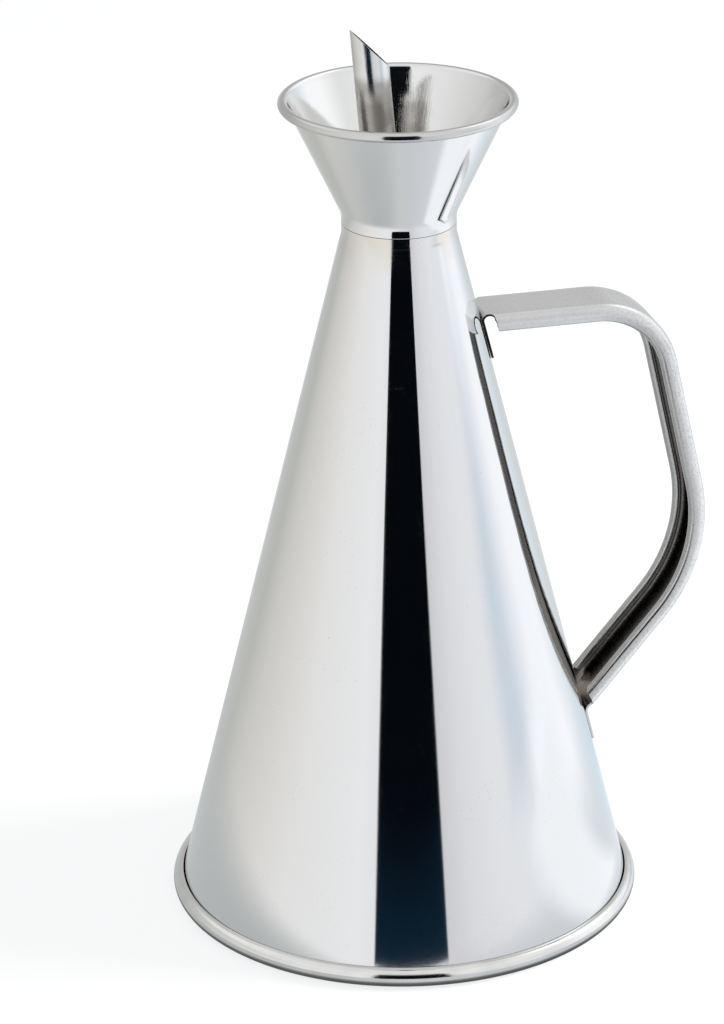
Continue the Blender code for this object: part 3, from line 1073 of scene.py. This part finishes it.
def blankColumns(settings):
    web, edge, side, end = foldMarks(settings)
    webs, turns, curls = settings["webSteps"], settings["edgeSteps"], settings["curlSteps"]
    half = [web * i / webs for i in range(webs + 1)]
    half += [web + (edge - web) * i / turns for i in range(1, turns + 1)]
    half += [edge + edgeSupport, side - edgeSupport]
    half += [side + (end - side) * i / curls for i in range(curls + 1)]
    return sorted({*half, *(-flat for flat in half)})


# Half the blank's width near one end, as (distance from that end, half width): notches part tongue and sides
def endOutline(settings, end, tongueEnd, bendEnd):
    half, corner = settings[end + "TongueWidth"] / 2, settings["tongueCorner"]
    shoulder, widest = settings[end + "Shoulder"] / 2, foldMarks(settings)[-1]
    flange, slant = bendEnd + settings[end + "Setback"], settings[end + "FlangeSlant"]
    arch = flange - tongueEnd
    turns = [math.radians(angle) for angle in range(0, 91, settings["cornerStep"])]
    outline = [(corner * (1 - math.cos(t)), half - corner * (1 - math.sin(t))) for t in turns]
    outline += [(tongueEnd + arch * math.sin(t), half + (shoulder - half) * (1 - math.cos(t))) for t in turns]
    curl, setback = settings["curlRadius"], settings[end + "CurlSetback"]
    lowest = foldMarks(settings)[2] + curl * math.pi / 2
    for flat in blankColumns(settings):
        if flat > shoulder:
            back = slant * (flat - shoulder) / (widest - shoulder)
            back += setback * shareBetween(flat, lowest, lowest + curl / 2)
            outline.append((flange + back, flat))
    return outline


def widthAt(outline, distance):
    for (near, nearWidth), (far, farWidth) in zip(outline, outline[1:]):
        if distance <= far:
            share = shareBetween(distance, near, far) if far > near else 1.0
            return nearWidth + (farWidth - nearWidth) * share
    return outline[-1][1]


def stationsAlong(settings, pieces, marks, upper, lower):
    length = marks[-1]
    stations = [distance for distance, _ in upper] + [length - distance for distance, _ in lower]
    for piece, start, end in zip(pieces, marks, marks[1:]):
        stations += [start, end]
        if piece[0] == "run":
            stations += [start + edgeSupport, end - edgeSupport]
            steps = settings["runSteps"]
        else:
            turn = math.degrees((end - start) / abs(piece[2][0]))
            steps = max(settings["fewestBendSteps"], round(turn / settings["stepAngle"]))
        stations += [start + (end - start) * i / steps for i in range(1, steps)]
    stations = sorted(stations)
    return stations[:1] + [b for a, b in zip(stations, stations[1:]) if b - a > closestStations]


# The strap's place at a distance along its path and a distance from the middle of its blank
def strapPoint(settings, pieces, marks, station, flat):
    place, inward = alongPath(pieces, marks, station)
    across, depth = folded(settings, flat)
    # a tongue follows the cone's roundness, which its bend leaves
    follow = max(1 - shareBetween(station, marks[1], marks[2]), shareBetween(station, marks[-3], marks[-2]))
    angle = flat / place.x
    fall = follow * place.x * (1 - math.cos(angle))
    spread = follow * place.x * math.sin(angle) + (1 - follow) * across
    return Vector((place.x + inward.x * depth - fall, spread, place.y + inward.y * depth))


# The strap's inside and its sheared edges get slots of their own while it is thickened, and markSides then
# turns these into colours: red inside the channel, green on the edges
insideSlot = 1
edgeSlot = 2


def markSides(strap):
    sides = strap.data.color_attributes.new(name="sides", type="FLOAT_COLOR", domain="CORNER")
    for face in strap.data.polygons:
        slot = face.material_index
        colour = (float(slot == insideSlot), float(slot == edgeSlot), 0.0, 1.0)
        for corner in face.loop_indices:
            sides.data[corner].color = colour


# Lengths along the strap are counted from its top or low end, and lengths across it from its folds
strapSettings = {
    "colour": (0.66, 0.66, 0.65, 1),
    "shade": (0.56, 0.55, 0.52, 1),
    # painted shade: the flanges on the grip are darker than the web
    "flange": (0.46, 0.46, 0.455, 1),
    # painted highlight along the grip's bends between web and flanges; on the top arm the bends take painted
    # shade
    "cornerHighlight": (0.72, 0.72, 0.72, 1),
    # painted light: the top arm's web and flanges are lighter than the grip's, as if lit from above
    "topLitColour": (0.77, 0.775, 0.79, 1),
    "topLitFlange": (0.60, 0.60, 0.60, 1),
    "topCornerShade": (0.38, 0.38, 0.38, 1),
    "darkGrain": (0.40, 0.39, 0.37, 1),
    "heatTint": (0.52, 0.46, 0.40, 1),
    # inside of the channel: a duller, unpolished face, darkened further with painted shade; near the low end
    # lighter and brownish, with heat tint and less painted shade where light reaches in past the cut flanges
    "inside": (0.22, 0.21, 0.20, 1),
    "litInsideTint": (0.33, 0.29, 0.26, 1),
    "edgeColour": (0.72, 0.72, 0.72, 1),
    # painted shadow: the sheared edges near the top end are near-black, as the shadow line between tongue and
    # cone
    "topEdgeShadow": (0.025, 0.024, 0.025, 1),
    "roughness": 0.08,
    "brushRoughness": 0.16,
    "sandRoughness": 0.12,
    "insideRoughness": 0.06,
    "edgeRoughness": 0.12,
    "brushStretch": (30, 700),
    "brush": (1.0, 4.0),
    "sand": (1500.0, 3.0),
    "sandMask": (0.50, 0.66),
    "sandDepthShare": 0.4,
    "grainDepth": 0.000012,
    "gritShare": 0.45,
    "topGritShare": 0.15,
    "patches": (130.0, 3.0),
    "shadeMask": (0.35, 0.70),
    "shadeShare": 0.6,
    "heatMask": (0.35, 0.60),
    "lowHeat": (0.0153, 0.0273),
    "lowHeatShare": 0.35,
    "topHeatShare": 0.07,
    "topArm": (0.035, 0.060),
    "topEnd": (0.015, 0.022),
    "lowEnd": (0.0153, 0.0161),
    "cornerFrom": (0, 0.0015),
    "cornerTo": (-0.0010, 0.0004),
    "cornerShare": 0.5,
    "flangeFrom": (-0.0006, 0.0012),
    "flangeShare": 0.8,
}


# Brushed outside along the strap, dull inside the channel and darkened there with painted shade, bare on the
# sheared edges. Painted light and shade as well: the top arm lighter than the grip, the grip's flanges
# darker, a highlight along the grip's bends, shade on the top arm's bends and a black shadow line on the top
# end's edges
def strapSteel(settings, shape):
    material, start = newMaterial("strapSteel")
    scale = shape["patternScale"]
    along, across, _ = start.make("ShaderNodeTexCoord", output=2).split()
    place = start.place()
    inside, edge, _ = start.make("ShaderNodeAttribute", {"attribute_name": "sides"}).split()
    stretchAlong, stretchAcross = settings["brushStretch"]
    grain = start.make("ShaderNodeCombineXYZ", None, {0: along * stretchAlong, 1: across * stretchAcross})
    brushed = start.noise(grain, *settings["brush"])
    sandy = start.noise(place, *settings["sand"])
    patches = start.noise(place, *settings["patches"])
    fromTop = along / scale
    fromLow = handlePath(shape)[1][-1] - fromTop
    fromMiddle = start.maths("ABSOLUTE", across) / scale
    # the top arm takes lighter, lit copies of the strap's colours (painted light)
    topArm = 1 - fromTop.rising(*settings["topArm"])
    topEnd = 1 - fromTop.rising(*settings["topEnd"])
    lowEnd = 1 - fromLow.rising(*settings["lowEnd"])
    heated = patches.rising(*settings["heatMask"]) * (1 - fromLow.rising(*settings["lowHeat"]))
    heated = heated * settings["lowHeatShare"] + topEnd * settings["topHeatShare"]
    web, bend, _, _ = foldMarks(shape)
    pastWeb = fromMiddle - web
    pastBend = fromMiddle - bend
    corner = pastWeb.rising(*settings["cornerFrom"]) * (1 - pastBend.rising(*settings["cornerTo"]))
    flange = pastBend.rising(*settings["flangeFrom"])
    colour = start.blend(topArm, shaded(start, settings, patches), settings["topLitColour"])
    flangeColour = start.blend(topArm, settings["flange"], settings["topLitFlange"])
    # painted shade on the flanges
    colour = start.blend(flange * settings["flangeShare"], colour, flangeColour)
    # painted highlight on the grip's bends, painted shade on the top arm's bends
    cornerColour = start.blend(topArm, settings["cornerHighlight"], settings["topCornerShade"])
    colour = start.blend(corner * settings["cornerShare"], colour, cornerColour)
    grit = settings["gritShare"] - (settings["gritShare"] - settings["topGritShare"]) * topArm
    colour = start.blend(sandy.rising(*settings["sandMask"]) * grit, colour, settings["darkGrain"])
    colour = start.blend(heated, colour, settings["heatTint"])
    # painted shade inside the channel, eased with heat tint near the low end
    colour = start.blend(inside, colour, start.blend(lowEnd, settings["inside"], settings["litInsideTint"]))
    # painted shadow on the sheared edges at the top end
    colour = start.blend(edge, colour, start.blend(topEnd, settings["edgeColour"], settings["topEdgeShadow"]))
    share = settings["sandDepthShare"]
    normal = start.bump(brushed * (1 - share) + sandy * share, settings["grainDepth"])
    roughness = roughened(settings, brush=brushed, sand=sandy, inside=inside, edge=edge)
    finishSteel(start, colour, roughness, normal)
    return material


def buildHandle(settings, material):
    pieces, marks = handlePath(settings)
    length = marks[-1]
    upper = endOutline(settings, "top", marks[1], marks[2])
    lower = endOutline(settings, "low", length - marks[-2], length - marks[-3])
    stations = stationsAlong(settings, pieces, marks, upper, lower)
    columns = blankColumns(settings)
    deselectAll()
    lengthwise, crosswise = len(stations) - 1, len(columns) - 1
    bpy.ops.mesh.primitive_grid_add(x_subdivisions=lengthwise, y_subdivisions=crosswise, size=1)
    strap = bpy.context.object
    strap.name = "handleStrap"
    blank = []
    for vertex in strap.data.vertices:
        station = stations[round((vertex.co.x + 0.5) * lengthwise)]
        column = columns[round((vertex.co.y + 0.5) * crosswise)]
        limit = min(widthAt(upper, station), widthAt(lower, length - station))
        flat = min(limit, max(-limit, column))
        blank.append((station * settings["patternScale"], flat * settings["patternScale"]))
        vertex.co = strapPoint(settings, pieces, marks, station, flat)
    # the grain follows the blank, laid out flat in the UV map
    grain = strap.data.uv_layers.active.data
    for loop in strap.data.loops:
        grain[loop.index].uv = blank[loop.vertex_index]
    beginEdit(strap)
    bpy.ops.mesh.remove_doubles(threshold=mergeDistance)
    bpy.ops.mesh.dissolve_degenerate(threshold=mergeDistance)
    endEdit()
    for _ in (0, insideSlot, edgeSlot):
        strap.data.materials.append(material)
    thicken(strap, settings["sheet"], material_offset=insideSlot, material_offset_rim=edgeSlot)
    softenEdges(strap, *settings["softEdge"])
    markSides(strap)
    for face in strap.data.polygons:
        face.material_index = 0
    settle(strap, material, "brushed_steel", "handle_strap")


def main():
    addCamera(cameraSettings)
    buildWorld()
    addFloor(floorSettings)
    addLamp(lampSettings)
    print("camera, studio, floor and lamp placed")
    polished = polishedSteel(steelSettings)
    funnel = funnelSteel(funnelSettings)
    darkRing = [baseRadius - 2 * rollRadius + out for out in baseSettings["darkRing"]]
    base = satinSteel("satinSteel", satinSettings, baseSettings["colour"], baseSettings["roughness"], darkRing)
    strap = strapSteel(strapSettings, handleSettings)
    weld = satinSteel("weldSteel", satinSettings, weldSettings["colour"], weldSettings["roughness"])
    drawn = tubeSteel(tubeSettings)
    print("steels mixed")
    buildBody(coneSettings, polished)
    buildBase(baseSettings, base)
    buildFunnel(funnelSettings, funnel)
    buildPlate(plateSettings, polished)
    buildTube(tubeSettings, drawn)
    buildWeld(weldSettings, weld)
    buildHandle(handleSettings, strap)
    bpy.context.scene.view_settings.view_transform = "Standard"


main()
